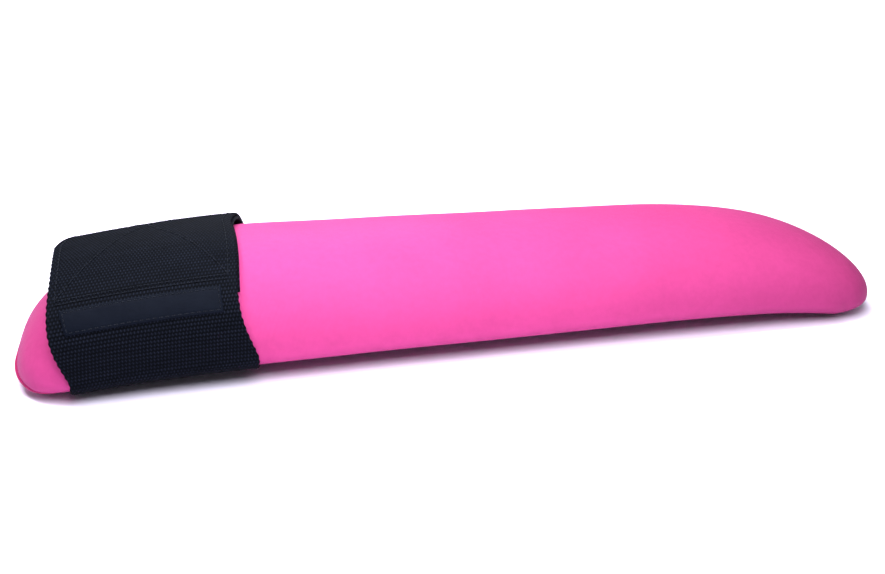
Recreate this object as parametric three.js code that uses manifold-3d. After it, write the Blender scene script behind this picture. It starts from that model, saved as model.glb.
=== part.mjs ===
// Foot arch stretcher: a long padded body with a D-shaped section, arched like a shallow bridge,
// and a wide webbing band sewn into a loop round its nose end. The toes go under the band, and the
// instep is pushed over the body's crown.
//
// Millimetres. +X runs from the nose to the tail, -Y is the near side, +Z is up. The part stands on
// the underside of its tail and on the band under its nose, with its middle clear of the floor.

import * as THREE from 'three';
import { mergeVertices } from 'three/addons/utils/BufferGeometryUtils.js';
import Module from 'manifold-3d';

const wasm = await Module();
wasm.setup();

// ---- Driving dimensions ----

// The body: its outline in plan, its crown in side view and its keel, the rounded lower edge.
const LENGTH = 500;
const WIDTH = 126.2;
const CROWN = 53.7; // mean height of the crown above the widest level at the two ends
const CROWN_FALL = 11.5; // the crown is this much lower at the tail than at the nose
const KEEL = 11.1; // from the underside up to the widest level
const ARCH_RISE = 7; // how far the middle of the underside stands above its ends
const ARCH_SPAN = { nose: 239.5, tail: 214 }; // from the body's middle to the arch's two ends
const ARCH_POWER = 5.8;
const CROWN_POWER = 2.27; // superellipse power of the upper half of the section
const KEEL_POWER = 3.85; // the same for the lower half, across the width

// Roundings of the two ends: the length of each, and the powers of its superellipse along and across.
const PLAN_ENDS = { nose: [47, 3.14, 3.14], tail: [69.6, 3.18, 3.3] };
const CROWN_ENDS = { nose: [134, 1.87, 1.87], tail: [147.3, 2.378, 2.062] };
const KEEL_ENDS = { nose: [21.6, 2, 2], tail: [34.2, 2.15, 2.15] };

// The seam between the two cover panels: at the widest level at the tips, tucked under elsewhere.
const SEAM_TUCK = THREE.MathUtils.degToRad(48); // angle round the section, down from the widest level
const TUCK_ENDS = { nose: [36, 2, 2], tail: [44, 2, 2] };

// The layers of the body, from the skin inwards.
const FIT = 0.3; // clearance left between neighbouring pieces
const COVER_THICKNESS = 2;
const TOPPER_THICKNESS = 6.7;
const BOARD_TOP = 0.5; // height of the board's top face above the widest level
const BINDING_HEIGHT = 1.8;
const BINDING_PROUD = 0.9; // where it turns round the tips; along the sides it lies flush

// The band: a strip of webbing wound once round the nose with its two ends lapped over the top.
const BAND_NOSE_EDGE = 28.6; // from the nose tip, at the floor
const BAND_TAIL_EDGE = 120;
const WEBBING_THICKNESS = 1.7;
const BAND_SLACK = 2.7; // the band stands this far off the crown
const BAND_DROOP = 8.3; // its nose edge hangs this much lower than its tail edge
const DROOP_POWER = 1.56;
const BAND_LEAN = 5.5; // its top leans this far towards the nose
const BAND_BOW = 4.9; // its near side bows this far towards the nose
const BOW_POWER = 1.3;
const BAND_SKEW = 11.4; // its far side is pulled this far towards the tail
const LAP_START = THREE.MathUtils.degToRad(36.5); // the hidden end, on the near side
const LAP_END = THREE.MathUtils.degToRad(360 + 168); // the outer end, on the far side
const LAP_RAMP = [365, 392].map(THREE.MathUtils.degToRad); // where the outer layer climbs over it

// Stitching and label, as angles round the band and fractions of its width.
const BOX_ANGLES = [46, 158].map(THREE.MathUtils.degToRad);
const BOX_ACROSS = [0.04, 0.95];
const LABEL_ANGLES = [25.5, 39.5].map(THREE.MathUtils.degToRad);
const LABEL_ACROSS = [0.09, 0.91];
const LABEL_THICKNESS = 0.5;
const LABEL_STITCH_INSET = 0.05; // of the label's width, and of twice its height
const THREAD_WIDTH = 1;
const THREAD_THICKNESS = 0.5;

// How finely the surfaces are divided.
const BODY_STATIONS = 34;
const CROWN_STEPS = 16;
const KEEL_STEPS = 7; // an odd number, so that the underside has a flat strip along its middle
const BAND_STATIONS = 5;
const BAND_STEPS = 64;
const STITCH_STEPS = 14; // along the box of stitches, which follows the band's curve
const LABEL_STEPS = 3;

const CUTTER = 300; // bigger than the body in every direction it has to cut
const CUTTER_MARGIN = 20; // how far it runs past each end of the body
const GROOVE_MARGIN = 1; // how far the cut for the seam stands out of the skin
const RING_CORNERS = 4;
const RING_TURN = 0.05; // half the turn over which the skin's slope is taken
const TIP_CROWN = 0.2; // keeps the skin from closing up right at the tips

const COLOURS = {
  cover: 0xfa5db8,
  coverBase: 0xd84c9c,
  binding: 0xc23583,
  foam: 0xe6e2d6,
  topper: 0xf4f1e8,
  board: 0xc9a36b,
  webbing: 0x1a1b22,
  thread: 0x24252d,
  label: 0x1d2238,
};

// ---- The body's shape ----

const { clamp, lerp, smoothstep } = THREE.MathUtils;

// Rounds one end of a profile: 0 at the tip, 1 at `length` from it, along a superellipse.
function endRound(distance, [length, along, across]) {
  const toGo = clamp((length - distance) / length, 0, 1);
  return (1 - toGo ** along) ** (1 / across);
}

// The same for both ends, at a distance from the nose tip.
function bothEnds(station, { nose, tail }) {
  return endRound(station, nose) * endRound(LENGTH - station, tail);
}

// The underside's rise above its ends, at x from the body's middle.
function archRise(x) {
  const span = x < 0 ? ARCH_SPAN.nose : ARCH_SPAN.tail;
  return ARCH_RISE * (1 - Math.min(Math.abs(x) / span, 1) ** ARCH_POWER);
}

// Where the body is widest.
function widestLevel(x) {
  return KEEL + archRise(x);
}

// The crown's height above the widest level at one station.
function crownHeight(station) {
  const mean = CROWN + CROWN_FALL * (0.5 - station / LENGTH);
  return Math.max(mean * bothEnds(station, CROWN_ENDS) - archRise(station - LENGTH / 2), TIP_CROWN);
}

// A point of a D section: angle 0 is the near side, 90 degrees the top, 180 the far side.
function sectionPoint(angle, halfWidth, above, below) {
  const across = Math.cos(angle);
  const up = Math.sin(angle);
  const power = up >= 0 ? CROWN_POWER : KEEL_POWER;
  const y = -halfWidth * Math.sign(across) * Math.abs(across) ** (2 / power);
  const z = up >= 0 ? above * up ** (2 / CROWN_POWER) : below * up;
  return [y, z];
}

// A point of the body's skin, or of the same skin shrunk by `inset` all round.
function skinPoint(station, angle, inset) {
  const x = (station - LENGTH / 2) * (1 - (2 * inset) / LENGTH);
  const halfWidth = (WIDTH / 2 - inset) * bothEnds(station, PLAN_ENDS);
  const above = crownHeight(station) * (1 - inset / CROWN);
  const below = (KEEL - inset) * bothEnds(station, KEEL_ENDS);
  const [y, z] = sectionPoint(angle, halfWidth, above, below);
  return new THREE.Vector3(x, y, widestLevel(x) + z);
}

// Stations along the body, crowded towards its two round ends.
function stationAt(i) {
  return (LENGTH / 2) * (1 - Math.cos((Math.PI * i) / BODY_STATIONS));
}

const SECTION_ANGLES = [
  ...Array.from({ length: CROWN_STEPS }, (_, i) => (Math.PI * i) / CROWN_STEPS),
  ...Array.from({ length: KEEL_STEPS }, (_, i) => Math.PI * (1 + i / KEEL_STEPS)),
];

// ---- Building closed surfaces ----

// A closed geometry from points and triangles, turned outwards if it came out inside out.
function closedGeometry(points, triangles) {
  const volume = triangles.reduce((sum, [a, b, c]) => {
    const normal = new THREE.Vector3().crossVectors(points[b], points[c]);
    return sum + points[a].dot(normal);
  }, 0);
  const faces = volume < 0 ? triangles.map(([a, b, c]) => [a, c, b]) : triangles;
  const geometry = new THREE.BufferGeometry();
  geometry.setAttribute('position', new THREE.Float32BufferAttribute(points.flatMap((p) => [...p]), 3));
  geometry.setIndex(faces.flat());
  return geometry;
}

// The two triangles of a quad.
function quad(a, b, c, d) {
  return [[a, b, c], [a, c, d]];
}

// A curved sheet with thickness: pointAt(u, v, w) maps the unit cube, w being the thickness.
function slab(pointAt, uSteps, vSteps) {
  const points = [];
  const layer = (uSteps + 1) * (vSteps + 1);
  for (const w of [0, 1]) {
    for (let i = 0; i <= uSteps; i += 1) {
      for (let j = 0; j <= vSteps; j += 1) {
        points.push(pointAt(i / uSteps, j / vSteps, w));
      }
    }
  }
  const at = (i, j, w) => w * layer + i * (vSteps + 1) + j;
  const triangles = [];
  for (let i = 0; i < uSteps; i += 1) {
    for (let j = 0; j < vSteps; j += 1) {
      triangles.push(...quad(at(i, j, 0), at(i, j + 1, 0), at(i + 1, j + 1, 0), at(i + 1, j, 0)));
      triangles.push(...quad(at(i, j, 1), at(i + 1, j, 1), at(i + 1, j + 1, 1), at(i, j + 1, 1)));
    }
    triangles.push(...quad(at(i, 0, 0), at(i + 1, 0, 0), at(i + 1, 0, 1), at(i, 0, 1)));
    triangles.push(...quad(at(i, vSteps, 0), at(i, vSteps, 1), at(i + 1, vSteps, 1), at(i + 1, vSteps, 0)));
  }
  for (let j = 0; j < vSteps; j += 1) {
    triangles.push(...quad(at(0, j, 0), at(0, j, 1), at(0, j + 1, 1), at(0, j + 1, 0)));
    triangles.push(...quad(at(uSteps, j, 0), at(uSteps, j + 1, 0), at(uSteps, j + 1, 1), at(uSteps, j, 1)));
  }
  return closedGeometry(points, triangles);
}

// The whole body shrunk by `inset`, as one closed lump with a single point at each tip.
function lump(inset) {
  const around = SECTION_ANGLES.length;
  const points = [skinPoint(0, 0, inset), skinPoint(LENGTH, 0, inset)];
  for (let i = 1; i < BODY_STATIONS; i += 1) {
    points.push(...SECTION_ANGLES.map((angle) => skinPoint(stationAt(i), angle, inset)));
  }
  const at = (i, j) => 2 + (i - 1) * around + (j % around);
  const triangles = [];
  for (let j = 0; j < around; j += 1) {
    triangles.push([0, at(1, j), at(1, j + 1)]);
    triangles.push([1, at(BODY_STATIONS - 1, j + 1), at(BODY_STATIONS - 1, j)]);
    for (let i = 1; i < BODY_STATIONS - 1; i += 1) {
      triangles.push(...quad(at(i, j), at(i + 1, j), at(i + 1, j + 1), at(i, j + 1)));
    }
  }
  return closedGeometry(points, triangles);
}

// A cutter that fills all the space above, or below, the widest level shifted by `offset`.
function levelCutter(offset, up) {
  const shape = new THREE.Shape();
  const far = up ? CUTTER : -CUTTER;
  const reach = LENGTH / 2 + CUTTER_MARGIN;
  shape.moveTo(reach, far);
  shape.lineTo(-reach, far);
  shape.lineTo(-reach, widestLevel(-reach) + offset);
  for (let i = 0; i <= BODY_STATIONS; i += 1) {
    const x = stationAt(i) - LENGTH / 2;
    shape.lineTo(x, widestLevel(x) + offset);
  }
  shape.lineTo(reach, widestLevel(reach) + offset);
  const prism = new THREE.ExtrudeGeometry(shape, { depth: CUTTER, bevelEnabled: false });
  return prism.rotateX(Math.PI / 2).translate(0, CUTTER / 2, 0);
}

// ---- Joining and cutting ----

function toSolid(geometry) {
  const bare = geometry.clone();
  bare.deleteAttribute('normal');
  bare.deleteAttribute('uv');
  const merged = mergeVertices(bare);
  return new wasm.Manifold(new wasm.Mesh({
    numProp: 3,
    vertProperties: new Float32Array(merged.attributes.position.array),
    triVerts: new Uint32Array(merged.index.array),
  }));
}

function toGeometry(solid) {
  const { vertProperties, triVerts } = solid.getMesh();
  const geometry = new THREE.BufferGeometry();
  geometry.setAttribute('position', new THREE.BufferAttribute(vertProperties, 3));
  geometry.setIndex(new THREE.BufferAttribute(triVerts, 1));
  return geometry;
}

// ---- The body's pieces ----

const skin = toSolid(lump(0));
const coverInside = toSolid(lump(COVER_THICKNESS));
const stuffing = toSolid(lump(COVER_THICKNESS + FIT));
const topperInside = toSolid(lump(COVER_THICKNESS + FIT + TOPPER_THICKNESS));
const foamOutside = toSolid(lump(COVER_THICKNESS + FIT + TOPPER_THICKNESS + FIT));

// A closed ring that follows the seam round the whole body. It reaches `proud` outside the skin,
// `deep` inside it and `reach` to either side of the seam line; proud is a function of the station.
function seamRing(proud, deep, reach) {
  const tuck = (station) => SEAM_TUCK * bothEnds(station, TUCK_ENDS);
  const steps = Array.from({ length: BODY_STATIONS }, (_, i) => i);
  const near = steps.map((i) => [stationAt(i), -tuck(stationAt(i))]);
  const far = steps.map((i) => [stationAt(BODY_STATIONS - i), Math.PI + tuck(stationAt(BODY_STATIONS - i))]);
  const route = [...near, ...far];
  const line = route.map(([station, angle]) => skinPoint(station, angle, 0));
  const points = route.flatMap(([station, angle], i) => {
    const next = line[(i + 1) % line.length];
    const last = line[(i + line.length - 1) % line.length];
    const along = new THREE.Vector3().subVectors(next, last);
    const around = skinPoint(station, angle + RING_TURN, 0).sub(skinPoint(station, angle - RING_TURN, 0));
    const inwards = new THREE.Vector3().crossVectors(along, around).normalize();
    inwards.multiplyScalar(Math.sign(inwards.dot(skinPoint(station, angle, COVER_THICKNESS).sub(line[i]))));
    const sideways = new THREE.Vector3().crossVectors(along, inwards).setLength(reach);
    const corners = [[-proud(station), -1], [-proud(station), 1], [deep, 1], [deep, -1]];
    return corners.map(([depth, side]) => (
      line[i].clone().addScaledVector(inwards, depth).addScaledVector(sideways, side)
    ));
  });
  const at = (i, j) => (i % route.length) * RING_CORNERS + (j % RING_CORNERS);
  const triangles = [];
  for (let i = 0; i < route.length; i += 1) {
    for (let j = 0; j < RING_CORNERS; j += 1) {
      triangles.push(...quad(at(i, j), at(i + 1, j), at(i + 1, j + 1), at(i, j + 1)));
    }
  }
  return toSolid(closedGeometry(points, triangles));
}

// The stretch fabric in two panels, the base under the body and the top over its crown and ends.
function coverPanels() {
  const groove = seamRing(() => GROOVE_MARGIN, 2 * COVER_THICKNESS, BINDING_HEIGHT / 2 + FIT);
  const panels = skin.subtract(coverInside).subtract(groove).decompose();
  const top = (panel) => panel.boundingBox().max[2];
  return panels.sort((a, b) => top(a) - top(b)).map(toGeometry);
}

// The bound seam between the two panels, a closed ring round the whole body.
function seamBinding() {
  const proud = (station) => BINDING_PROUD * (1 - bothEnds(station, PLAN_ENDS));
  return toGeometry(seamRing(proud, 2 * COVER_THICKNESS, BINDING_HEIGHT / 2).subtract(coverInside));
}

// The stiff arched board that carries the load from end to end.
function coreBoard() {
  const below = toSolid(levelCutter(BOARD_TOP, false));
  return toGeometry(stuffing.intersect(below));
}

// The soft foam layer under the cover.
function foamTopper() {
  const above = toSolid(levelCutter(BOARD_TOP + FIT, true));
  return toGeometry(stuffing.subtract(topperInside).intersect(above));
}

// The firm foam block on the board.
function foamBlock() {
  const above = toSolid(levelCutter(BOARD_TOP + FIT, true));
  return toGeometry(foamOutside.intersect(above));
}

// ---- The band's pieces ----

// How far the band's inner face stands off the body at an angle along the strip.
function bandStandOff(angle) {
  const climb = smoothstep(angle, ...LAP_RAMP);
  const slack = BAND_SLACK * Math.max(Math.sin(angle), 0);
  return FIT + slack + (WEBBING_THICKNESS + FIT) * climb;
}

// How high a place on the band is: 0 up to the body's widest level, 1 over its crown.
function bandRise(angle) {
  return Math.max(Math.sin(angle), 0) ** (2 / CROWN_POWER);
}

// A point of the band: the angle runs along the strip, `across` over its width from the nose edge,
// and `height` is measured outwards from the strip's inner face.
function bandPoint(angle, across, height) {
  const offset = bandStandOff(angle) + height;
  const rise = bandRise(angle);
  const [y] = sectionPoint(angle, WIDTH / 2 + offset, 1, 1);
  const bow = y < 0 ? BAND_BOW * Math.sin(Math.PI * rise) ** BOW_POWER : 0;
  const skew = (BAND_SKEW * Math.max(y, 0)) / (WIDTH / 2);
  const station = lerp(BAND_NOSE_EDGE, BAND_TAIL_EDGE, across) - BAND_LEAN * rise - bow + skew;
  const x = station - LENGTH / 2;
  const tightTop = widestLevel(BAND_TAIL_EDGE - LENGTH / 2) + crownHeight(BAND_TAIL_EDGE);
  const above = tightTop - BAND_DROOP * (1 - across) ** DROOP_POWER - widestLevel(x);
  const [, z] = sectionPoint(angle, 1, above + offset, KEEL + offset);
  return new THREE.Vector3(x, y, widestLevel(x) + z);
}

function bandWebbing() {
  return slab((u, v, w) => (
    bandPoint(lerp(LAP_START, LAP_END, u), v, w * WEBBING_THICKNESS)
  ), BAND_STEPS, BAND_STATIONS);
}

// A straight run of thread on the band's outer face between two [angle, across] places.
function threadRun(start, end, steps, lift) {
  const width = BAND_TAIL_EDGE - BAND_NOSE_EDGE;
  const girth = WIDTH / 2;
  const along = new THREE.Vector2((end[0] - start[0]) * girth, (end[1] - start[1]) * width);
  const side = new THREE.Vector2(-along.y, along.x).setLength(THREAD_WIDTH / 2);
  const stretch = THREAD_WIDTH / 2 / along.length();
  return slab((u, v, w) => {
    const place = lerp(-stretch, 1 + stretch, u);
    const sideways = 2 * v - 1;
    const angle = lerp(start[0], end[0], place) + (sideways * side.x) / girth;
    const across = lerp(start[1], end[1], place) + (sideways * side.y) / width;
    const height = WEBBING_THICKNESS + lift + w * THREAD_THICKNESS;
    return bandPoint(2 * Math.PI + angle, across, height);
  }, steps, 1);
}

// Several runs of thread joined into one piece.
function stitching(runs, lift) {
  const solids = runs.map(([start, end, steps]) => toSolid(threadRun(start, end, steps, lift)));
  return toGeometry(solids.reduce((joined, run) => joined.add(run)));
}

// The four sides of a rectangle of stitches; runs along the strip are divided to follow its curve.
function rectangleRuns([a0, a1], [t0, t1], steps) {
  return [
    [[a0, t0], [a1, t0], steps],
    [[a0, t1], [a1, t1], steps],
    [[a0, t0], [a0, t1], BAND_STATIONS],
    [[a1, t0], [a1, t1], BAND_STATIONS],
  ];
}

// The box with a cross that joins the lapped ends.
function boxCrossStitch() {
  const [a0, a1] = BOX_ANGLES;
  const [t0, t1] = BOX_ACROSS;
  const cross = [[[a0, t0], [a1, t1], STITCH_STEPS], [[a0, t1], [a1, t0], STITCH_STEPS]];
  return stitching([...rectangleRuns(BOX_ANGLES, BOX_ACROSS, STITCH_STEPS), ...cross], FIT);
}

// A plain woven label, sewn on below the box of stitches.
function label() {
  return slab((u, v, w) => {
    const angle = 2 * Math.PI + lerp(...LABEL_ANGLES, u);
    return bandPoint(angle, lerp(...LABEL_ACROSS, v), WEBBING_THICKNESS + FIT + w * LABEL_THICKNESS);
  }, LABEL_STEPS, BAND_STATIONS);
}

function labelStitch() {
  const shrink = ([low, high], part) => [lerp(low, high, part), lerp(high, low, part)];
  const angles = shrink(LABEL_ANGLES, 2 * LABEL_STITCH_INSET);
  const across = shrink(LABEL_ACROSS, LABEL_STITCH_INSET / 2);
  return stitching(rectangleRuns(angles, across, LABEL_STEPS), FIT + LABEL_THICKNESS + FIT);
}

// ---- The assembly ----

function piece(name, geometry, color, roughness) {
  geometry.computeVertexNormals();
  const material = new THREE.MeshStandardMaterial({ color, roughness, metalness: 0 });
  const mesh = new THREE.Mesh(geometry, material);
  mesh.name = name;
  return mesh;
}

const [basePanel, topPanel] = coverPanels();
const body = new THREE.Group();
body.add(piece('core_board', coreBoard(), COLOURS.board, 0.7));
body.add(piece('foam_block', foamBlock(), COLOURS.foam, 0.95));
body.add(piece('foam_topper', foamTopper(), COLOURS.topper, 0.95));
body.add(piece('cover_top_panel', topPanel, COLOURS.cover, 0.6));
body.add(piece('cover_base_panel', basePanel, COLOURS.coverBase, 0.6));
body.add(piece('seam_binding', seamBinding(), COLOURS.binding, 0.7));

const band = new THREE.Group();
band.add(piece('band_webbing', bandWebbing(), COLOURS.webbing, 0.8));
band.add(piece('box_cross_stitch', boxCrossStitch(), COLOURS.thread, 0.6));
band.add(piece('blank_label', label(), COLOURS.label, 0.5));
band.add(piece('label_stitch', labelStitch(), COLOURS.thread, 0.6));

// Set the assembly down on the floor.
const stretcher = new THREE.Group();
stretcher.add(body, band);
stretcher.position.z = -new THREE.Box3().setFromObject(stretcher, true).min.z;

export default stretcher;
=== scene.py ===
"""The looks of a foot arch stretcher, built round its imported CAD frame.

Sizes are in millimetres up to the point where a mesh is made, and in metres from there on. The shapes of the
body and the band repeat the formulae of the CAD source, so every piece lies where its solid lies.
"""

import math

import bmesh
import bpy
import numpy as np
from mathutils import Euler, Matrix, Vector


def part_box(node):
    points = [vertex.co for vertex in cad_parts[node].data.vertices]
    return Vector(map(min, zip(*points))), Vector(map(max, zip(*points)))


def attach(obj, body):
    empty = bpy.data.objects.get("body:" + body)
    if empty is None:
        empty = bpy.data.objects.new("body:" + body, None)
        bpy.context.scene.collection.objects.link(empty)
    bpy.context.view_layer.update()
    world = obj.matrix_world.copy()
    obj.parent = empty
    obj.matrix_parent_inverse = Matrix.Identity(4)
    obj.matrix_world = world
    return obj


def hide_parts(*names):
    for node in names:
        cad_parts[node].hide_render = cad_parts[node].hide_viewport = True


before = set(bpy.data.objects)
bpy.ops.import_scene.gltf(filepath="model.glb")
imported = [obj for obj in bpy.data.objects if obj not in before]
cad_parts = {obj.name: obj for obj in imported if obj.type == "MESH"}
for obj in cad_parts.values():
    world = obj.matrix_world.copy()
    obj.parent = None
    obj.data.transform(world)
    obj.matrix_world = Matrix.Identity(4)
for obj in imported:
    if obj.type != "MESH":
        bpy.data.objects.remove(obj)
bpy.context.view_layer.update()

MM = 0.001

# ---- The body's shape, as in the CAD source ----

LENGTH = 500.0
WIDTH = 126.2
CROWN = 53.7
CROWN_FALL = 11.5
KEEL = 11.1
ARCH_RISE = 7.0
ARCH_SPAN = (239.5, 214.0)
ARCH_POWER = 5.8
CROWN_POWER = 2.27
KEEL_POWER = 3.85
PLAN_ENDS = ((47.0, 3.14, 3.14), (69.6, 3.18, 3.3))
CROWN_ENDS = ((134.0, 1.87, 1.87), (147.3, 2.378, 2.062))
KEEL_ENDS = ((21.6, 2.0, 2.0), (34.2, 2.15, 2.15))
SEAM_TUCK = math.radians(48)
TUCK_ENDS = ((36.0, 2.0, 2.0), (44.0, 2.0, 2.0))

FIT = 0.3
COVER_THICKNESS = 2.0
TOPPER_THICKNESS = 6.7
BOARD_TOP = 0.5

BAND_NOSE_EDGE = 28.6
BAND_TAIL_EDGE = 120.0
BAND_WIDTH = BAND_TAIL_EDGE - BAND_NOSE_EDGE
WEBBING_THICKNESS = 1.7
BAND_SLACK = 2.7
BAND_DROOP = 8.3
DROOP_POWER = 1.56
BAND_LEAN = 5.5
BAND_BOW = 4.9
BOW_POWER = 1.3
BAND_SKEW = 11.4
LAP_START, LAP_END = math.radians(36.5), math.radians(360 + 168)
LAP_RAMP = (math.radians(365), math.radians(392))

CAD_STATIONS = 34
CAD_KEEL_STEPS = 7

# ---- The webbing's weave ----

EDGE_ROUND = WEBBING_THICKNESS / 2
YARNS = 106
WARP = (BAND_WIDTH - 2 * EDGE_ROUND) / YARNS  # spacing of the yarns along the strip
PICK = 1.97  # spacing of the thick yarns across it


def end_round(distance, end):
    """1 along the body, falling to 0 at one end over its length by a rounded curve."""
    length, along, across = end
    to_go = np.clip((length - distance) / length, 0, 1)
    return (1 - to_go**along) ** (1 / across)


def both_ends(station, ends):
    return end_round(station, ends[0]) * end_round(LENGTH - station, ends[1])


def arch_rise(x):
    """How far the arch lifts the body at x, measured from its middle."""
    span = np.where(x < 0, ARCH_SPAN[0], ARCH_SPAN[1])
    return ARCH_RISE * (1 - np.minimum(np.abs(x) / span, 1) ** ARCH_POWER)


def widest_level(x):
    return KEEL + arch_rise(x)


def crown_height(station):
    mean = CROWN + CROWN_FALL * (0.5 - station / LENGTH)
    return np.maximum(mean * both_ends(station, CROWN_ENDS) - arch_rise(station - LENGTH / 2), 0)


def seam_tuck(station):
    """How far round under the rim the seam runs, as an angle."""
    return SEAM_TUCK * both_ends(station, TUCK_ENDS)


FLAT = math.cos(math.pi / 2 / CAD_KEEL_STEPS)  # the CAD's underside is flat from here down


def section(angle, half_width, above, below):
    """y and z of a D section: angle 0 is the near side, 90 degrees the top, 180 the far side."""
    across, up = np.cos(angle), np.sin(angle)
    power = np.where(up >= 0, CROWN_POWER, KEEL_POWER)
    y = -half_width * np.sign(across) * np.abs(across) ** (2 / power)
    z = np.where(up >= 0, above * np.abs(up) ** (2 / CROWN_POWER), below * np.maximum(up, -FLAT))
    return y, z


def stations(steps):
    """Places along the body, crowded towards its two round ends."""
    return LENGTH / 2 * (1 - np.cos(np.pi * np.arange(steps + 1) / steps))


cad_stations = stations(CAD_STATIONS)
crown_line = widest_level(cad_stations - LENGTH / 2) + crown_height(cad_stations)
DROP = crown_line.max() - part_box("cover_top_panel")[1].z / MM  # the CAD sets the part down on the floor


def skin(station, angle, inset, lowest=None):
    """Points of the body's skin shrunk by inset, none lower than lowest over the widest level."""
    x = (station - LENGTH / 2) * (1 - 2 * inset / LENGTH)
    half_width = (WIDTH / 2 - inset) * both_ends(station, PLAN_ENDS)
    above = crown_height(station) * (1 - inset / CROWN)
    below = (KEEL - inset) * both_ends(station, KEEL_ENDS)
    y, z = section(angle, half_width, above, below)
    if lowest is not None:
        z = np.maximum(z, lowest)
    return np.stack(np.broadcast_arrays(x, y, widest_level(x) + z - DROP), -1)


# ---- Meshes ----


WELD = 0.002  # points this close become one


def make_object(name, points, faces, material, uv=None, weld=0.0):
    """An object from points in millimetres; uv holds a point's place in the surface's own millimetres."""
    mesh = bpy.data.meshes.new(name)
    mesh.from_pydata((np.asarray(points, float) * MM).tolist(), [], faces)
    if uv is not None:
        index = np.empty(len(mesh.loops), np.int32)
        mesh.loops.foreach_get("vertex_index", index)
        layer = mesh.uv_layers.new(name="cloth_mm")
        layer.data.foreach_set("uv", np.asarray(uv, np.float32)[index].ravel())
    mesh.polygons.foreach_set("use_smooth", [True] * len(mesh.polygons))
    mesh.materials.append(material)
    bm = bmesh.new()
    bm.from_mesh(mesh)
    if weld:
        bmesh.ops.remove_doubles(bm, verts=bm.verts, dist=weld * MM)
    bmesh.ops.recalc_face_normals(bm, faces=bm.faces)
    bm.to_mesh(mesh)
    bm.free()
    obj = bpy.data.objects.new(name, mesh)
    bpy.context.scene.collection.objects.link(obj)
    return obj


def loop_faces(rows, columns, first=0):
    """The quads between rows of closed rings."""
    r, c = np.meshgrid(np.arange(rows - 1), np.arange(columns), indexing="ij")
    after = (c + 1) % columns
    this_row, next_row = r * columns, (r + 1) * columns
    quads = np.stack([this_row + c, this_row + after, next_row + after, next_row + c], -1)
    return (quads.reshape(-1, 4) + first).tolist()


def tube(name, rings, material, uv=None, caps=True, weld=0.0):
    """A closed body from rings of points; its ends are capped, or drawn together by the weld."""
    rows, columns = rings.shape[:2]
    faces = loop_faces(rows, columns)
    if caps:
        faces += [list(range(columns))[::-1], list(range((rows - 1) * columns, rows * columns))]
    flat_uv = None if uv is None else uv.reshape(-1, 2)
    return make_object(name, rings.reshape(-1, 3), faces, material, flat_uv, weld=weld)


# ---- Materials ----


class Nodes:
    """A short way to build one material's node tree."""

    def __init__(self, name):
        self.material = bpy.data.materials.new(name)
        self.material.use_nodes = True
        self.tree = self.material.node_tree
        self.shader = self.tree.nodes["Principled BSDF"]

    def add(self, kind, inputs=None, **settings):
        node = self.tree.nodes.new(kind)
        for key, value in settings.items():
            setattr(node, key, value)
        for key, value in (inputs or {}).items():
            if isinstance(value, bpy.types.NodeSocket):
                self.tree.links.new(value, node.inputs[key])
            else:
                node.inputs[key].default_value = value
        return node

    def math(self, operation, a, b=0.0):
        return self.add("ShaderNodeMath", {0: a, 1: b}, operation=operation).outputs[0]

    def place(self, scale=(1, 1, 1)):
        """The surface's own coordinates in millimetres, scaled."""
        uv = self.add("ShaderNodeUVMap", uv_map="cloth_mm").outputs[0]
        return self.add("ShaderNodeMapping", {"Vector": uv, "Scale": scale}).outputs[0]

    def solid_place(self, scale=(1, 1, 1)):
        """The object's own coordinates in metres, scaled."""
        where = self.add("ShaderNodeTexCoord").outputs["Object"]
        return self.add("ShaderNodeMapping", {"Vector": where, "Scale": scale}).outputs[0]

    def split(self, vector):
        return self.add("ShaderNodeSeparateXYZ", {0: vector}).outputs

    def waves(self, vector, direction, spacing):
        """Smooth ridges this many millimetres apart, 0 to 1."""
        scale = math.pi / 10 / spacing  # the node makes one ridge every pi/10 at a scale of 1
        return self.add("ShaderNodeTexWave", {"Vector": vector, "Scale": scale, "Distortion": 0.0},
                        wave_type="BANDS", bands_direction=direction).outputs["Fac"]

    def noise(self, vector, scale, detail=2.0, roughness=0.5):
        inputs = {"Vector": vector, "Scale": scale, "Detail": detail, "Roughness": roughness}
        return self.add("ShaderNodeTexNoise", inputs).outputs["Fac"]

    def ramp(self, value, low, high):
        """Carries value from the span low[0] to high[0] over to the span low[1] to high[1]."""
        inputs = {
            "Value": value,
            "From Min": low[0],
            "From Max": high[0],
            "To Min": low[1],
            "To Max": high[1],
        }
        return self.add("ShaderNodeMapRange", inputs).outputs[0]

    def mix(self, factor, a, b):
        node = self.add("ShaderNodeMix", data_type="RGBA")
        for key, value in ((0, factor), (6, a), (7, b)):
            if isinstance(value, bpy.types.NodeSocket):
                self.tree.links.new(value, node.inputs[key])
            else:
                node.inputs[key].default_value = value
        return node.outputs[2]

    def bump(self, height, distance, strength=1.0, normal=None):
        inputs = {"Height": height, "Distance": distance, "Strength": strength}
        if normal is not None:
            inputs["Normal"] = normal
        return self.add("ShaderNodeBump", inputs).outputs[0]

    def finish(self, links, **values):
        for key, value in links.items():
            self.tree.links.new(value, self.shader.inputs[key])
        for key, value in values.items():
            self.shader.inputs[key.replace("_", " ")].default_value = value
        return self.material


def rgb(r, g, b):
    return (r, g, b, 1.0)


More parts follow.
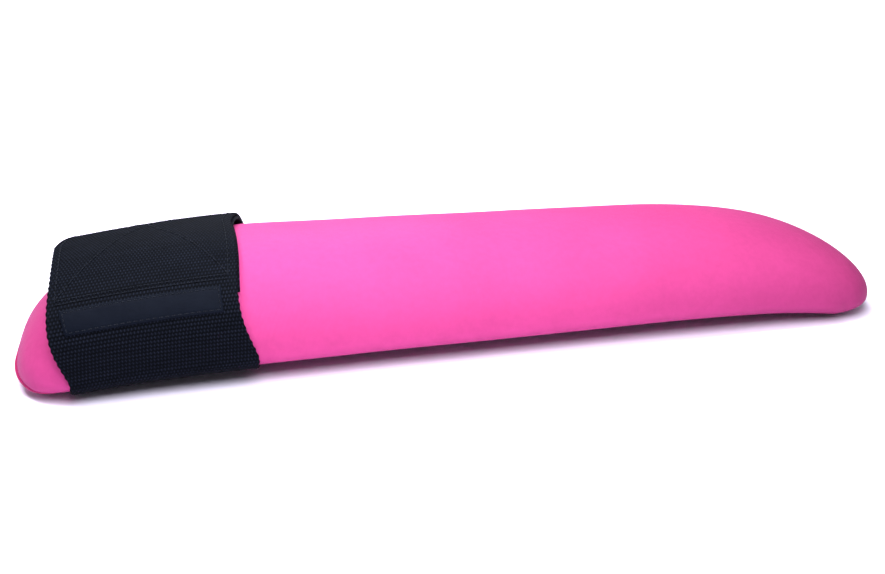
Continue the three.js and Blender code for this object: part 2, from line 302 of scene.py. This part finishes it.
def knit_fabric(name, base, deep):
    """Smooth nylon-faced knit: fine wales along the body and a faint mottling."""
    n = Nodes(name)
    wales = n.waves(n.place(), "X", 0.62)
    courses = n.waves(n.place(), "Y", 0.5)
    mottle = n.noise(n.solid_place(), 260.0, 3.0)
    cloud = n.noise(n.solid_place(), 22.0, 2.0)
    shade = n.math("ADD", n.math("MULTIPLY", mottle, 0.5), n.math("MULTIPLY", cloud, 0.5))
    colour = n.mix(n.ramp(shade, (0.35, 0.0), (0.65, 1.0)), deep, base)
    knit = n.bump(n.math("MULTIPLY", wales, courses), 0.00012, 0.3)
    return n.finish({"Base Color": colour, "Normal": n.bump(mottle, 0.0003, 0.12, knit)},
                    Roughness=0.6, Specular_IOR_Level=0.03)


def bead_fabric(name, base, deep):
    """The folded edge of the same knit at the seam, seen along its stitches."""
    n = Nodes(name)
    ridges = n.waves(n.place(), "X", 1.6)
    return n.finish({"Base Color": n.mix(ridges, deep, base), "Normal": n.bump(ridges, 0.0003, 0.6)},
                    Roughness=0.7, Specular_IOR_Level=0.1)


def webbing_nylon(name, gap, yarn):
    """Black webbing in a plain weave, with the light and shade of its relief painted in: painted highlights
    in ovals where the warp yarns lie on top, dimmer picks between them, painted shade in the gaps.
    """
    n = Nodes(name)
    across, along, _ = n.split(n.place())
    column = n.math("DIVIDE", n.math("SUBTRACT", across, EDGE_ROUND), WARP)
    turn = n.math("MULTIPLY", n.math("ADD", n.math("DIVIDE", along, PICK), n.math("FLOOR", column)), math.pi)
    over = n.ramp(n.math("COSINE", turn), (0.1, 0.0), (0.9, 1.0))
    middle = n.math("SINE", n.math("MULTIPLY", n.math("FRACT", column), math.pi))
    painted_highlight_oval = n.math("MULTIPLY", over, middle)
    row = n.math("ABSOLUTE", n.math("COSINE", n.math("MULTIPLY", along, math.pi / PICK)))
    pick = n.ramp(row, (0.5, 0.0), (1.0, 0.28))
    fibre = n.noise(n.place((2.4, 0.7, 1)), 1.0, 3.0)
    streak = n.noise(n.place((0.04, 0.4, 1)), 1.0, 2.0)
    uneven = n.ramp(n.math("ADD", fibre, streak), (0.7, 0.5), (1.3, 1.3))
    # painted light and shade of the weave: highlights on the yarns' tops, dimmer picks, painted shade in the
    # gaps, times a random unevenness of tone
    painted_light_and_tone = n.math("MULTIPLY", n.math("MAXIMUM", painted_highlight_oval, pick), uneven)
    return n.finish({"Base Color": n.mix(painted_light_and_tone, gap, yarn), "Normal": n.bump(fibre, 0.0002, 0.3)},
                    Roughness=0.6, Specular_IOR_Level=0.007)


def thread_nylon(name):
    """Twisted black thread."""
    n = Nodes(name)
    twist = n.waves(n.place(), "DIAGONAL", 0.5)
    colour = n.mix(twist, rgb(0.0032, 0.0038, 0.0055), rgb(0.008, 0.0095, 0.014))
    return n.finish({"Base Color": colour, "Normal": n.bump(twist, 0.0002, 0.7)},
                    Roughness=0.5, Specular_IOR_Level=0.02)


def label_satin(name):
    """Woven satin: very fine crosswise floats that catch the light along the label."""
    n = Nodes(name)
    floats = n.noise(n.place((0.6, 9.0, 1)), 1.0, 2.0)
    cloud = n.noise(n.place((0.08, 0.08, 1)), 1.0, 2.0)
    colour = n.mix(n.ramp(n.math("ADD", floats, cloud), (0.7, 0.0), (1.3, 1.0)),
                   rgb(0.0015, 0.0022, 0.0045), rgb(0.0025, 0.0035, 0.0065))
    return n.finish({"Base Color": colour, "Normal": n.bump(floats, 0.00008, 0.5)},
                    Roughness=0.5, Specular_IOR_Level=0.012)


def foam(name, base, deep):
    """Open-celled foam."""
    n = Nodes(name)
    cells = n.add("ShaderNodeTexVoronoi", {"Vector": n.solid_place(), "Scale": 900.0}).outputs["Distance"]
    colour = n.mix(n.ramp(cells, (0.0, 0.0), (0.5, 1.0)), deep, base)
    return n.finish({"Base Color": colour, "Normal": n.bump(cells, 0.0006, 0.7)}, Roughness=0.95)


def plywood(name):
    """Bent plywood with long grain."""
    n = Nodes(name)
    inputs = {"Vector": n.solid_place((3, 30, 400)), "Scale": 1.2, "Distortion": 6.0, "Detail": 3.0}
    wave = n.add("ShaderNodeTexWave", inputs, wave_type="BANDS", bands_direction="Y")
    grain = wave.outputs["Fac"]
    colour = n.mix(grain, rgb(0.42, 0.26, 0.12), rgb(0.66, 0.47, 0.26))
    return n.finish({"Base Color": colour, "Normal": n.bump(grain, 0.0002, 0.3)}, Roughness=0.55)


def floor_paper(name):
    """White paper that glows away from the object, so that it stays white out to the backdrop. The glow is
    painted light: it begins a little beyond the tips, where it lifts the shade on the floor and lights the
    tips from below. The paper's pale lilac shows only in its shade, as a painted tint of the shadows.
    """
    n = Nodes(name)
    tooth = n.noise(n.solid_place(), 300.0, 2.0)
    x, y, _ = n.split(n.solid_place())
    far = n.math("SQRT", n.math("ADD", n.math("MULTIPLY", x, x), n.math("MULTIPLY", y, y)))
    # lilac paper as a painted tint of the shadows, and a glow as painted light from a little beyond the tips
    # outwards
    return n.finish({"Base Color": n.mix(tooth, rgb(0.80, 0.75, 0.93), rgb(0.83, 0.78, 0.96)),
                     "Emission Strength": n.ramp(far, (0.3, 0.0), (0.55, 1.0))},
                    Emission_Color=rgb(1, 1, 1), Roughness=0.9, Specular_IOR_Level=0.1)


def backdrop_paper(name):
    """Even white that needs no light."""
    n = Nodes(name)
    return n.finish({}, Base_Color=rgb(0, 0, 0), Emission_Color=rgb(1, 1, 1), Emission_Strength=1.0,
                    Specular_IOR_Level=0.0)


cover_cloth = knit_fabric("stretch_knit_pink", rgb(0.284, 0.0295, 0.122), rgb(0.25, 0.0255, 0.107))
bead_cloth = bead_fabric("seam_edge_pink", rgb(0.30, 0.012, 0.085), rgb(0.20, 0.007, 0.055))
# the darker colour is painted shade in the weave's gaps, the lighter one the yarns under their painted
# highlights
webbing = webbing_nylon("webbing_nylon_black", rgb(0.0007, 0.0009, 0.0014), rgb(0.0062, 0.0077, 0.0132))
thread = thread_nylon("bonded_thread_black")
satin = label_satin("label_satin_navy")
firm_foam = foam("firm_foam_cream", rgb(0.82, 0.79, 0.70), rgb(0.55, 0.52, 0.44))
soft_foam = foam("soft_foam_white", rgb(0.88, 0.87, 0.83), rgb(0.62, 0.61, 0.57))

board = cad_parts["core_board"]
board.data.materials.clear()
board.data.materials.append(plywood("plywood_bent"))

# ---- The cover, its seam and what is inside ----

COVER_STATIONS = 300
COVER_AROUND = 132
LINING_AROUND = 36
GIRTH_SAMPLES = 500
SEAM_GAP = 0.5  # each panel stops this far from the seam line
SEAM_TURN = 1.7  # radius with which a panel's edge turns in towards the seam
CALM = 6.0  # the cloth is even this near the seam
PUCKER_STATION, PUCKER_ANGLE = 466.0, -0.25  # a small dent low on the near side of the tail
PUCKER_LENGTH, PUCKER_TURN, PUCKER_DEPTH = 4.5, 0.35, 0.9


def cloth_unevenness(x, angle):
    """Small slow dents and swellings of the stretched cloth, in millimetres inwards."""
    swell = (
        0.11 * np.sin(x / 21.0 + 2.1 * np.sin(1.3 * angle))
        + 0.10 * np.sin(x / 34.0 - 2.3 * angle + 1.0)
        + 0.06 * np.sin(x / 12.5 + 3.1 * angle + 0.4)
    )
    lengthwise = (x - PUCKER_STATION) / PUCKER_LENGTH
    around = (angle - PUCKER_ANGLE) / PUCKER_TURN
    pucker = np.exp(-(lengthwise**2) - around**2)
    return swell + PUCKER_DEPTH * pucker


def seam_turn(distance):
    """How far the cloth is drawn inwards at a distance from the seam line."""
    to_go = SEAM_TURN - np.clip(distance, 0, SEAM_TURN)
    return SEAM_TURN - np.sqrt(SEAM_TURN**2 - to_go**2)


def crowded(start, stop, steps):
    """Places from start to stop, crowded towards both."""
    return start + (stop - start) * (0.5 - 0.5 * np.cos(np.pi * np.arange(steps) / (steps - 1)))


def panel_ring(station, start, stop):
    """Angles across one panel, and their distances from its nearer edge measured over the skin."""
    fine = np.linspace(start, stop, GIRTH_SAMPLES)
    steps = np.linalg.norm(np.diff(skin(station, fine, 0.0), axis=0), axis=1)
    girth = np.concatenate([[0], np.cumsum(steps)])
    gap = min(SEAM_GAP, girth[-1] / 4)
    at = crowded(gap, girth[-1] - gap, COVER_AROUND)
    return np.interp(at, girth, fine), np.minimum(at, girth[-1] - at)


def cover_panel(name, on_top):
    """One panel of the cover as a closed shell whose edges turn in at the seam."""
    station = stations(COVER_STATIONS)
    tuck = seam_tuck(station)
    spans = [(-t, np.pi + t) if on_top else (np.pi + t, 2 * np.pi - t) for t in tuck]
    angles, edge = zip(*(panel_ring(s, *span) for s, span in zip(station, spans)))
    angles, edge = np.array(angles), np.array(edge)
    station = station[:, None]
    uneven = cloth_unevenness(station, angles) * np.clip((edge - SEAM_TURN) / CALM, 0, 1)
    outer = skin(station, angles, seam_turn(edge) + uneven)
    lining = np.linspace(COVER_AROUND - 1, 0, LINING_AROUND).round().astype(int)
    inner = skin(station, angles[:, lining], COVER_THICKNESS)
    rings = np.concatenate([outer, inner], 1)
    steps = np.linalg.norm(np.diff(rings, axis=1), axis=-1)
    girth = np.concatenate([np.zeros((len(station), 1)), np.cumsum(steps, 1)], 1)
    girth -= girth[:, [COVER_AROUND // 2]]
    uv = np.stack([np.broadcast_to(station, girth.shape), girth], -1)
    return tube(name, rings, cover_cloth, uv, caps=False, weld=WELD)


cover_top = cover_panel("cover_top", True)
cover_base = cover_panel("cover_base", False)

BEAD_STEPS = 420
BEAD_AROUND = 10
BEAD_HALF_HEIGHT = 0.75
BEAD_HALF_DEPTH = 1.0
BEAD_INSET = 1.1
BEAD_TURN = 0.05  # half the angle over which the skin's direction is taken
BEAD_PROUD = (1.5, 0.9)  # at the nose tip and at the tail tip
PROUD_REACH = 27.0  # from each tip; the band begins just beyond


def seam_bead():
    """The rolled edge between the two panels, proud of them only where it turns round the tips."""
    near = stations(BEAD_STEPS // 2)[:-1]
    station = np.concatenate([near, LENGTH - near])
    tuck = seam_tuck(station)
    angle = np.where(np.arange(len(station)) < len(near), -tuck, np.pi + tuck)
    line = skin(station, angle, 0.0)
    along = np.roll(line, -1, 0) - np.roll(line, 1, 0)
    around = skin(station, angle + BEAD_TURN, 0.0) - skin(station, angle - BEAD_TURN, 0.0)
    around[np.linalg.norm(around, axis=1) < 1e-6] = (0, 0, 1)
    inwards = np.cross(along, around)
    inwards *= np.sign((inwards * (skin(station, angle, 1.0) - line)).sum(1))[:, None]
    sideways = np.cross(along, inwards)
    inwards /= np.linalg.norm(inwards, axis=1)[:, None]
    sideways /= np.linalg.norm(sideways, axis=1)[:, None]
    tip_proud = np.where(station < LENGTH / 2, *BEAD_PROUD)
    proud = tip_proud * np.clip(1 - np.minimum(station, LENGTH - station) / PROUD_REACH, 0, 1)
    swing = np.linspace(0, 2 * np.pi, BEAD_AROUND, endpoint=False)
    depth = (BEAD_INSET - proud)[:, None] - BEAD_HALF_DEPTH * np.cos(swing)
    side = BEAD_HALF_HEIGHT * np.sin(swing)
    points = line[:, None] + depth[..., None] * inwards[:, None] + side[None, :, None] * sideways[:, None]
    run = np.concatenate([[0], np.cumsum(np.linalg.norm(np.diff(line, axis=0), axis=-1))])
    uv = np.stack(np.broadcast_arrays(run[:, None], side[None, :]), -1)
    rows = len(station)
    faces = [[v % (rows * BEAD_AROUND) for v in face] for face in loop_faces(rows + 1, BEAD_AROUND)]
    return make_object("seam_bead", points.reshape(-1, 3), faces, bead_cloth, uv.reshape(-1, 2))


bead = seam_bead()

FOAM_STATIONS = 90
FOAM_AROUND = 40


def foam_ring(station, angle, inset):
    """Points of a foam surface that stops just above the board."""
    return skin(station, angle, inset, BOARD_TOP + FIT)


def foam_piece(name, outer_inset, inner_inset, material):
    """A foam layer over the board: solid if inner_inset is None, otherwise a shell open at the board."""
    station = stations(FOAM_STATIONS)[:, None]
    outer = foam_ring(station, crowded(0, np.pi, FOAM_AROUND)[None, :], outer_inset)
    if inner_inset is None:
        return tube(name, outer, material, caps=False, weld=WELD)
    inner = foam_ring(station, crowded(np.pi, 0, FOAM_AROUND)[None, :], inner_inset)
    return tube(name, np.concatenate([outer, inner], 1), material, caps=False, weld=WELD)


topper_outside = COVER_THICKNESS + FIT
topper_inside = topper_outside + TOPPER_THICKNESS
topper = foam_piece("foam_layer", topper_outside, topper_inside, soft_foam)
block = foam_piece("foam_core", topper_inside + FIT, None, firm_foam)

# ---- The band ----


def smoothstep(x, low, high):
    t = np.clip((x - low) / (high - low), 0, 1)
    return t * t * (3 - 2 * t)


def band_stand_off(angle):
    """How far the band's inner face stands off the skin."""
    slack = BAND_SLACK * np.maximum(np.sin(angle), 0)
    return FIT + slack + (WEBBING_THICKNESS + FIT) * smoothstep(angle, *LAP_RAMP)


def band_rise(angle):
    """0 at the body's sides and underneath, 1 on top."""
    return np.maximum(np.sin(angle), 0) ** (2 / CROWN_POWER)


def band_point(angle, across, height):
    """A point of the band: angle along it, across 0 to 1 from its nose edge, height over its inner face."""
    angle, across, height = np.broadcast_arrays(*(np.asarray(v, float) for v in (angle, across, height)))
    offset = band_stand_off(angle) + height
    rise = band_rise(angle)
    y, _ = section(angle, WIDTH / 2 + offset, 1.0, 1.0)
    bow = np.where(y < 0, BAND_BOW * np.clip(np.sin(np.pi * rise), 0, 1) ** BOW_POWER, 0)
    skew = BAND_SKEW * np.maximum(y, 0) / (WIDTH / 2)
    station = BAND_NOSE_EDGE + BAND_WIDTH * across - BAND_LEAN * rise - bow + skew
    x = station - LENGTH / 2
    tight_top = widest_level(BAND_TAIL_EDGE - LENGTH / 2) + crown_height(BAND_TAIL_EDGE)
    above = tight_top - BAND_DROOP * np.clip(1 - across, 0, 2) ** DROOP_POWER - widest_level(x)
    _, z = section(angle, 1.0, above + offset, KEEL + offset)
    return np.stack([x, y, widest_level(x) + z - DROP], -1)


WEAVE_RISE = 0.25
WEAVE_GAP = 0.15
SELVEDGE_LOOP = 0.2
SELVEDGE_WIDTH = 2.2 * EDGE_ROUND
SELVEDGE_TURNS = np.radians([0, 25, 55])
RELIEF_LEFT = 1.15  # a place keeps this part of the weave's relief, less its share of the selvedge
BACK_POINTS = 24
PEEK = 1.0
PEEK_SPAN = (math.radians(150), math.radians(205))
ARC_SAMPLES = 6000
ARC_MARGIN = 0.1
STITCH_SINK = 0.1  # the thread draws the webbing in this much
STITCH_PULL = 0.8  # half width of the dent it makes

# Arc length along the middle of the strip, from which rows and stitches are laid out evenly.
arc_angles = np.linspace(LAP_START - ARC_MARGIN, LAP_END + ARC_MARGIN, ARC_SAMPLES)
arc_points = band_point(arc_angles, 0.5, WEBBING_THICKNESS)
arc_run = np.concatenate([[0], np.cumsum(np.linalg.norm(np.diff(arc_points, axis=0), axis=-1))])


def run_at(angle):
    return np.interp(angle, arc_angles, arc_run)


def angle_at(run):
    return np.interp(run, arc_run, arc_angles)


def on_lap(degrees):
    """Run along the strip of an angle on its outer layer."""
    return float(run_at(math.radians(360 + degrees)))


BOX_LOW, BOX_HIGH = on_lap(46), on_lap(158)
BOX_NEAR, BOX_FAR = 0.04 * BAND_WIDTH, 0.95 * BAND_WIDTH
SECOND_ROW = 2.3  # a second row of stitches runs this far below the box
LABEL_LOW, LABEL_HIGH = on_lap(25.5), on_lap(39.5)
LABEL_NEAR, LABEL_FAR = 0.09 * BAND_WIDTH, 0.91 * BAND_WIDTH

# Straight runs of stitches as (run, distance across) pairs: the box, its cross and the second row.
box = [(BOX_LOW, BOX_NEAR), (BOX_LOW, BOX_FAR), (BOX_HIGH, BOX_FAR), (BOX_HIGH, BOX_NEAR)]
box_runs = [
    (box[0], box[1]),
    (box[1], box[2]),
    (box[2], box[3]),
    (box[3], box[0]),
    (box[0], box[2]),
    (box[1], box[3]),
    ((BOX_LOW - SECOND_ROW, BOX_NEAR), (BOX_LOW - SECOND_ROW, BOX_FAR)),
]


def dent(run, s):
    """How deep the stitches of the box draw the webbing in at a place on it."""
    deepest = np.zeros(np.broadcast(run, s).shape)
    for (r0, s0), (r1, s1) in box_runs:
        length = math.hypot(r1 - r0, s1 - s0)
        ur, us = (r1 - r0) / length, (s1 - s0) / length
        along = (run - r0) * ur + (s - s0) * us
        beside = np.abs((s - s0) * ur - (run - r0) * us)
        beyond = np.maximum(np.maximum(-along, along - length), 0)
        reach = np.hypot(beside, beyond) / STITCH_PULL
        deepest = np.maximum(deepest, np.exp(-(reach**2)))
    return STITCH_SINK * deepest


def weave_height(run, column):
    """Relief of the weave: warp yarns that pass over and under the picks, with grooves between them."""
    yarn = np.floor((column - 1) / 2)
    wave = np.cos(np.pi * (run / PICK + yarn))
    return np.where(column % 2 == 0, WEAVE_RISE * wave, -WEAVE_GAP)


def peek(angle):
    """The hidden layer lies this much nearer the tail, so its edge shows beside the outer layer's."""
    return PEEK * (1 - smoothstep(angle, *PEEK_SPAN))


def webbing_piece(name, runs):
    """A length of webbing as a closed strip, with its weave, rounded selvedges and stitch dents."""
    face = EDGE_ROUND + WARP / 2 * np.arange(2 * YARNS + 1)
    edge_s = EDGE_ROUND - EDGE_ROUND * np.cos(SELVEDGE_TURNS)
    edge_h = EDGE_ROUND + EDGE_ROUND * np.sin(SELVEDGE_TURNS)
    back_s = np.linspace(BAND_WIDTH - EDGE_ROUND, EDGE_ROUND, BACK_POINTS)
    low_s, low_h = edge_s[1:], WEBBING_THICKNESS - edge_h[1:]
    s = np.concatenate([edge_s, face, BAND_WIDTH - edge_s[::-1], BAND_WIDTH - low_s, back_s, low_s[::-1]])
    h = np.concatenate([edge_h, np.full(len(face), WEBBING_THICKNESS), edge_h[::-1], low_h,
                        np.zeros(len(back_s)), low_h[::-1]])
    column = np.full(len(s), -1)
    column[len(edge_s): len(edge_s) + len(face)] = np.arange(1, len(face) + 1)
    rim = np.clip(1 - np.minimum(s, BAND_WIDTH - s) / SELVEDGE_WIDTH, 0, 1)
    run = np.asarray(runs)[:, None]
    on_face = column >= 0
    relief = np.where(on_face, weave_height(run, column), 0) * np.clip(RELIEF_LEFT - rim, 0, 1)
    near_loops, far_loops = -np.cos(np.pi * run / PICK), np.sin(np.pi * run / PICK)
    loops = SELVEDGE_LOOP * rim * np.where(s < BAND_WIDTH / 2, near_loops, far_loops)
    angle = angle_at(run)
    sewn = smoothstep(angle, *LAP_RAMP) * on_face
    points = band_point(angle, (s + loops + peek(angle)) / BAND_WIDTH, h + relief - sewn * dent(run, s))
    uv = np.stack(np.broadcast_arrays(s[None, :], run), -1)
    return tube(name, points, webbing, uv)


SPLIT = float(run_at(math.radians(300)))  # the strip is two pieces that meet here, underneath
FINE = PICK / 3
start_run, end_run = float(run_at(LAP_START)), float(run_at(LAP_END))
exposed_run = float(run_at(PEEK_SPAN[0]))  # up to here the strip is hidden under its outer layer


def even(low, high, step):
    """Evenly spaced places from low to high, about step apart."""
    return np.linspace(low, high, max(2, int(round((high - low) / step)) + 1))


outer_rows = even(SPLIT, end_run, FINE)
under_rows = np.concatenate([even(start_run, exposed_run, 2 * PICK)[:-1], even(exposed_run, SPLIT, FINE)])
band_outer = webbing_piece("band_webbing_outer", outer_rows)
band_under = webbing_piece("band_webbing_under", under_rows)

# ---- Stitches and label ----

THREAD_SIDES = 6
THREAD_RINGS = 7
BOX_STITCH = {"pitch": 3.4, "gap": 0.35, "radius": 0.24, "lift": 0.14}


def stitch_row(start, end, pitch, gap, radius, lift):
    """Single stitches between two (run, distance across) places, each an arched bit of thread."""
    (r0, s0), (r1, s1) = start, end
    length = math.hypot(r1 - r0, s1 - s0)
    count = max(1, int(round(length / pitch)))
    step = length / count
    along = np.linspace(0, 1, THREAD_RINGS)
    swing = np.linspace(0, 2 * np.pi, THREAD_SIDES, endpoint=False)
    ur, us = (r1 - r0) / length, (s1 - s0) / length
    from_middle = 2 * along[:, None] - 1
    thickness = radius * np.sqrt(np.clip(1 - from_middle**6, 0.02, 1))
    droop = 0.5 * radius * from_middle**4
    sets = []
    for k in range(count):
        at = k * step + gap / 2 + (step - gap) * along
        side = thickness * np.cos(swing)
        up = thickness * np.sin(swing) + lift - droop
        run = r0 + ur * at[:, None] - us * side
        s = s0 + us * at[:, None] + ur * side
        points = band_point(angle_at(run), s / BAND_WIDTH, WEBBING_THICKNESS + up)
        uv = np.stack(np.broadcast_arrays(at[:, None], swing[None, :] * radius), -1)
        sets.append((points, uv))
    return sets


def stitched(name, rows):
    """All the stitches of some rows as one piece."""
    points, uvs, faces, first = [], [], [], 0
    per = THREAD_RINGS * THREAD_SIDES
    for ring, uv in rows:
        points.append(ring.reshape(-1, 3))
        uvs.append(uv.reshape(-1, 2))
        faces += loop_faces(THREAD_RINGS, THREAD_SIDES, first)
        faces.append(list(range(first, first + THREAD_SIDES))[::-1])
        faces.append(list(range(first + per - THREAD_SIDES, first + per)))
        first += per
    return make_object(name, np.concatenate(points), faces, thread, np.concatenate(uvs))


box_rows = [one for start, end in box_runs for one in stitch_row(start, end, **BOX_STITCH)]
box_stitch = stitched("box_cross_stitches", box_rows)

LABEL_THICKNESS = 0.55
LABEL_LIFT = FIT
LABEL_SLANT = 2.2  # its upper corner at the nose end lies this far nearer the nose than its lower one
LABEL_INSET = 1.3  # of its stitches from its rim
LABEL_DENT, LABEL_DENT_WIDTH = 0.14, 0.5
LABEL_WAVE = 0.05
LABEL_ROUND = np.array([0.0, 0.06, 0.2, 0.45, 0.8])  # distances in from the rim, across its rounded edge
LABEL_FLAT = 1.4  # its even steps start this far in
LABEL_STEPS = (22, 90)
LABEL_LIP, LABEL_BED = 0.02, 0.05  # its upper and lower faces start this far below its lift
LABEL_STITCH = {"pitch": 3.0, "gap": 0.8, "radius": 0.24, "lift": LABEL_LIFT + 0.5}


def slanted(run, s):
    """The distance across the band of a place on the label, whose nose end is cut at a slant."""
    height = (run - LABEL_LOW) / (LABEL_HIGH - LABEL_LOW)
    return s - LABEL_SLANT * height * (LABEL_FAR - s) / (LABEL_FAR - LABEL_NEAR)


def label_piece():
    """The blank label: a flat pad with soft folded ends and edges, laid on the webbing."""
    width, length = LABEL_HIGH - LABEL_LOW, LABEL_FAR - LABEL_NEAR
    sides = []
    for side, steps in zip((width, length), LABEL_STEPS):
        middle = np.linspace(LABEL_FLAT, side - LABEL_FLAT, steps)
        sides.append(np.concatenate([LABEL_ROUND, middle, side - LABEL_ROUND[::-1]]))
    rr, ss = np.meshgrid(*sides, indexing="ij")
    rim = np.minimum(np.minimum(rr, width - rr), np.minimum(ss, length - ss))
    top = LABEL_THICKNESS * np.sqrt(np.clip(1 - (1 - np.clip(rim / LABEL_ROUND[-1], 0, 1)) ** 2, 0, 1))
    sewn = LABEL_DENT * np.exp(-(((rim - LABEL_INSET) / LABEL_DENT_WIDTH) ** 2))
    wave = LABEL_WAVE * np.sin(ss / 4.1 + 0.8 * np.sin(rr / 3.0)) * np.clip(rim / 3, 0, 1)
    angle = angle_at(LABEL_LOW + rr)
    place = slanted(LABEL_LOW + rr, LABEL_NEAR + ss) / BAND_WIDTH
    lift = WEBBING_THICKNESS + LABEL_LIFT
    upper = band_point(angle, place, lift - LABEL_LIP + top - sewn + wave)
    lower = band_point(angle, place, lift - LABEL_BED)
    rows, cols = rr.shape
    index = np.arange(rows * cols).reshape(rows, cols)
    quads = np.stack([index[:-1, :-1], index[:-1, 1:], index[1:, 1:], index[1:, :-1]], -1).reshape(-1, 4)
    faces = quads.tolist() + (quads[:, ::-1] + rows * cols).tolist()
    border = np.concatenate([index[0, :-1], index[:-1, -1], index[-1, :0:-1], index[:0:-1, 0]])
    after = np.roll(border, -1)
    faces += np.stack([border, border + rows * cols, after + rows * cols, after], -1).tolist()
    points = np.concatenate([upper.reshape(-1, 3), lower.reshape(-1, 3)])
    uv = np.stack([ss, rr], -1).reshape(-1, 2)
    return make_object("label_blank", points, faces, satin, np.concatenate([uv, uv]))


def label_seam():
    """The four runs of stitches round the label as (run, distance across) pairs."""
    low, high = LABEL_LOW + LABEL_INSET, LABEL_HIGH - LABEL_INSET
    near, far = LABEL_NEAR + LABEL_INSET, LABEL_FAR - LABEL_INSET
    corners = [(run, slanted(run, s)) for run, s in ((low, near), (low, far), (high, far), (high, near))]
    return zip(corners, corners[1:] + corners[:1])


label = label_piece()
label_rows = [one for start, end in label_seam() for one in stitch_row(start, end, **LABEL_STITCH)]
label_stitches = stitched("label_stitches", label_rows)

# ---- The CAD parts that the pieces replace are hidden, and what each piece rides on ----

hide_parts("cover_top_panel")
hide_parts("cover_base_panel")
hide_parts("seam_binding")
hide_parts("foam_topper")
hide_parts("foam_block")
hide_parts("band_webbing")
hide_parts("band_webbing")
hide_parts("box_cross_stitch")
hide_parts("blank_label")
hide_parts("label_stitch")

for piece in (cover_top, cover_base, bead, topper, block):
    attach(piece, "body")
for piece in (band_outer, band_under, box_stitch, label, label_stitches):
    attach(piece, "band")

# ---- Floor, light and camera ----

scene = bpy.context.scene
scene.view_settings.view_transform = "Standard"

FLOOR_HALF = 9000.0
FLOOR_DROP = 0.3
WALL_RADIUS, WALL_HEIGHT, WALL_SIDES = 8900.0, 9000.0, 64


def make_floor():
    half = FLOOR_HALF
    points = [(-half, -half, 0), (half, -half, 0), (half, half, 0), (-half, half, 0)]
    obj = make_object("floor", points, [[0, 1, 2, 3]], floor_paper("floor_paper_white"))
    obj.location.z = -FLOOR_DROP * MM
    return obj


def make_backdrop():
    """A white wall all round that only the camera sees, so that low views have no grey horizon."""
    turn = np.linspace(0, 2 * np.pi, WALL_SIDES, endpoint=False)
    ring = np.stack([WALL_RADIUS * np.cos(turn), WALL_RADIUS * np.sin(turn), 0 * turn], -1)
    wall = make_object("backdrop", np.concatenate([ring, ring + (0, 0, WALL_HEIGHT)]),
                       loop_faces(2, WALL_SIDES), backdrop_paper("backdrop_white"))
    for kind in ("diffuse", "glossy", "shadow", "transmission"):
        setattr(wall, f"visible_{kind}", False)
    return wall


make_floor()
make_backdrop()

world = bpy.data.worlds.new("studio")
world.use_nodes = True
sky = world.node_tree.nodes["Background"]
sky.inputs["Color"].default_value = rgb(0.98, 0.985, 1.0)
sky.inputs["Strength"].default_value = 0.43
scene.world = world

AIM = Vector((-0.02, 0.0, 0.04))
LAMPS = [  # name, place, size, power
    ("overhead", (-0.02, -0.07, 0.45), 0.25, 2.7),
    ("high", (-0.05, 0.0, 0.9), 0.5, 3.2),
    ("back", (-0.06, 0.5, 0.5), 0.4, 3.4),
    ("front", (-0.07, -0.35, 0.35), 0.25, 3.8),
    ("left", (-0.3, -0.08, 0.5), 0.25, 4.8),
]


def soft_box(name, place, size, power):
    """A square lamp at a place in metres, facing the object's middle."""
    lamp = bpy.data.lights.new(name, "AREA")
    lamp.shape = "SQUARE"
    lamp.size = size
    lamp.energy = power
    obj = bpy.data.objects.new(name, lamp)
    obj.location = place
    obj.rotation_euler = (AIM - obj.location).to_track_quat("-Z", "Y").to_euler()
    scene.collection.objects.link(obj)


for lamp in LAMPS:
    soft_box(*lamp)

CAMERA_PLACE = (-0.17134, -0.55683, 0.22004 - DROP * MM)
CAMERA_DOWN, CAMERA_RIGHT = math.radians(18.68), math.radians(15.56)

camera_data = bpy.data.cameras.new("camera")
camera_data.sensor_width = 36.0
camera_data.lens = 42.32
camera_data.clip_start = 0.01
camera_data.clip_end = 60.0
camera = bpy.data.objects.new("camera", camera_data)
camera.location = CAMERA_PLACE
camera.rotation_euler = Euler((math.radians(90) - CAMERA_DOWN, 0, -CAMERA_RIGHT), "XYZ")
scene.collection.objects.link(camera)
scene.camera = camera

bpy.context.view_layer.update()
